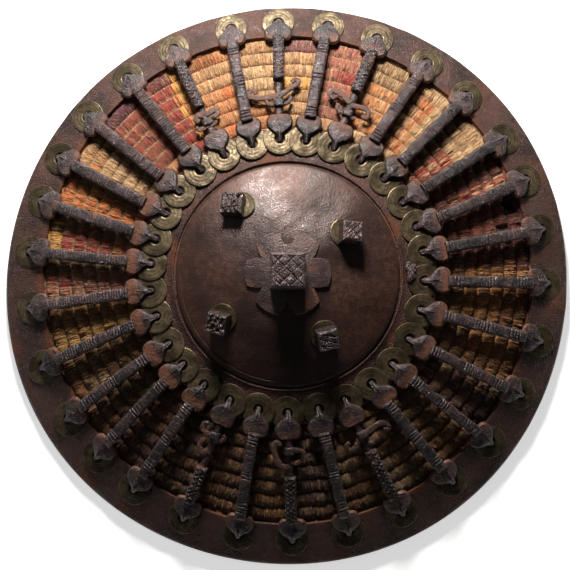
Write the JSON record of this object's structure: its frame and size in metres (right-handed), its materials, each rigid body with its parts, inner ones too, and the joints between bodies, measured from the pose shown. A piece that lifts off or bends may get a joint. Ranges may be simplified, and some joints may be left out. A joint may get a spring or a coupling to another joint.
{
  "type": "round buckler shield",
  "caption": "Round domed hand shield of coiled, thread-wrapped cane with an iron rim, an iron boss and forged radial bars held on brass washers.",
  "frame": {"origin": "middle of the underside, where the rim rests", "axes": "+Z out of the face, +Y towards the top of the shield as it is held up, +X to the right seen from the face"},
  "size_m": [0.4198, 0.4176, 0.1037],
  "materials": {
    "iron_plate": "dark brown rust-stained sheet iron, worn to grey where it stands proud",
    "forged_iron": "dark forged iron, chisel cut, with rust in the hollows",
    "brass": "dull aged brass with olive tarnish",
    "wrapped_cane": "cane rows wrapped in faded tan, red, burgundy, orange and gold thread, frayed in places",
    "strap_leather": "dark worn leather"
  },
  "bodies": {
    "root": {"rim_ring": "iron_plate", "inner_ring": "iron_plate", "boss": "iron_plate", "rosette": "iron_plate", "cane_body": "wrapped_cane", "inner_washers": "brass", "centre_block": "forged_iron", "boss_stud_1": "forged_iron", "boss_stud_2": "forged_iron", "boss_stud_3": "forged_iron", "boss_stud_4": "forged_iron", "stud_washer_1": "brass", "stud_washer_2": "brass", "stud_washer_3": "brass", "stud_washer_4": "brass", "hand_strap_1": "strap_leather", "hand_strap_2": "strap_leather", "bar_01": "forged_iron", "bar_02": "forged_iron", "bar_03": "forged_iron", "bar_04": "forged_iron", "bar_05": "forged_iron", "bar_06": "forged_iron", "bar_07": "forged_iron", "bar_08": "forged_iron", "bar_09": "forged_iron", "bar_10": "forged_iron", "bar_11": "forged_iron", "bar_12": "forged_iron", "bar_13": "forged_iron", "bar_14": "forged_iron", "bar_15": "forged_iron", "bar_16": "forged_iron", "bar_17": "forged_iron", "bar_18": "forged_iron", "bar_19": "forged_iron", "bar_20": "forged_iron", "bar_21": "forged_iron", "bar_22": "forged_iron", "bar_23": "forged_iron", "bar_24": "forged_iron", "bar_25": "forged_iron", "bar_26": "forged_iron", "bar_27": "forged_iron", "bar_28": "forged_iron", "bar_29": "forged_iron", "bar_30": "forged_iron"}
  },
  "joints": []
}
